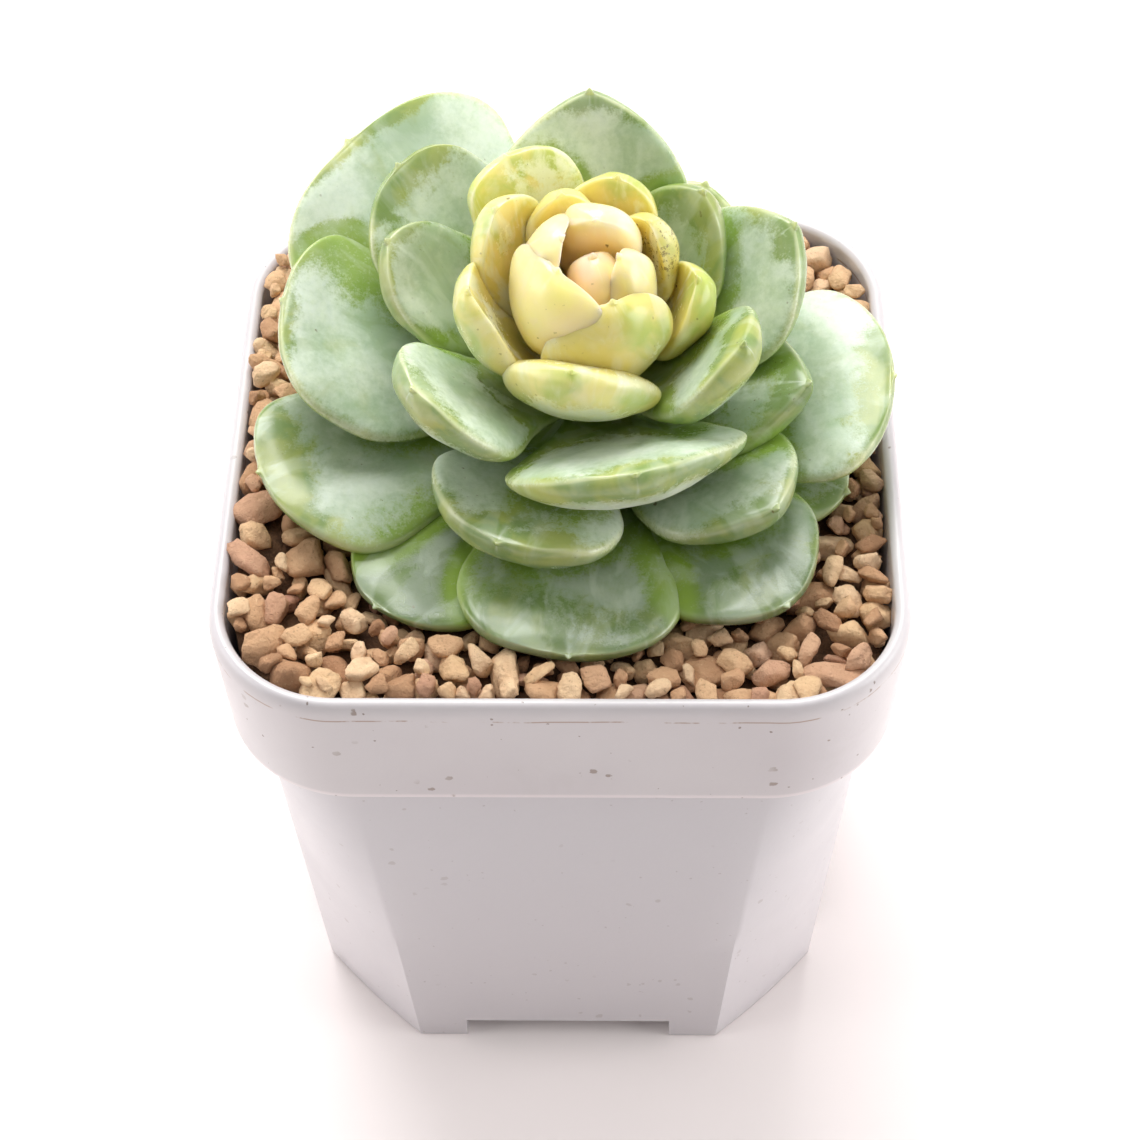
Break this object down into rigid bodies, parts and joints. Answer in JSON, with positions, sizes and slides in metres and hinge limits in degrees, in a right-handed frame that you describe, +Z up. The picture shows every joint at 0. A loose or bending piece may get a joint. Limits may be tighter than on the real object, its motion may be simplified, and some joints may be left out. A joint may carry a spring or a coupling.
{
  "type": "potted succulent",
  "caption": "Rosette succulent with plump waxy leaves on a short stem, planted in soil topped with grit in a square plastic nursery pot with a rim band and feet.",
  "frame": {"origin": "middle of the pot's footprint, on the surface that it stands on", "axes": "+Z up, -Y the front, towards which the rosette leans"},
  "size_m": [0.07, 0.07, 0.1057],
  "materials": {
    "white_plastic": "moulded white plastic, satin to glossy",
    "potting_soil": "dark damp potting soil, rough",
    "tan_grit": "dry tan fired-clay grit, matt",
    "stem": "woody green-brown stem",
    "leaf_green": "blue-green waxy leaf with a powdery bloom",
    "leaf_yellow": "yellow-green waxy young leaf",
    "leaf_cream": "cream to peach waxy heart leaf"
  },
  "bodies": {
    "root": {"grit_layer": "tan_grit", "heart_bud": "leaf_cream", "heart_leaf_1": "leaf_cream", "heart_leaf_2": "leaf_cream", "heart_leaf_3": "leaf_cream", "heart_leaf_4": "leaf_cream", "inner_leaf_1": "leaf_yellow", "inner_leaf_2": "leaf_yellow", "inner_leaf_3": "leaf_yellow", "inner_leaf_4": "leaf_yellow", "inner_leaf_5": "leaf_yellow", "inner_leaf_6": "leaf_yellow", "inner_leaf_7": "leaf_yellow", "inner_leaf_8": "leaf_yellow", "inner_leaf_9": "leaf_yellow", "middle_leaf_1": "leaf_green", "middle_leaf_2": "leaf_green", "middle_leaf_3": "leaf_green", "middle_leaf_4": "leaf_green", "middle_leaf_5": "leaf_green", "middle_leaf_6": "leaf_green", "middle_leaf_7": "leaf_green", "middle_leaf_8": "leaf_green", "middle_leaf_9": "leaf_green", "outer_leaf_1": "leaf_green", "outer_leaf_10": "leaf_green", "outer_leaf_11": "leaf_green", "outer_leaf_12": "leaf_green", "outer_leaf_13": "leaf_green", "outer_leaf_14": "leaf_green", "outer_leaf_15": "leaf_green", "outer_leaf_16": "leaf_green", "outer_leaf_2": "leaf_green", "outer_leaf_3": "leaf_green", "outer_leaf_4": "leaf_green", "outer_leaf_5": "leaf_green", "outer_leaf_6": "leaf_green", "outer_leaf_7": "leaf_green", "outer_leaf_8": "leaf_green", "outer_leaf_9": "leaf_green", "pot": "white_plastic", "potting_soil": "potting_soil", "stem": "stem"}
  },
  "joints": []
}
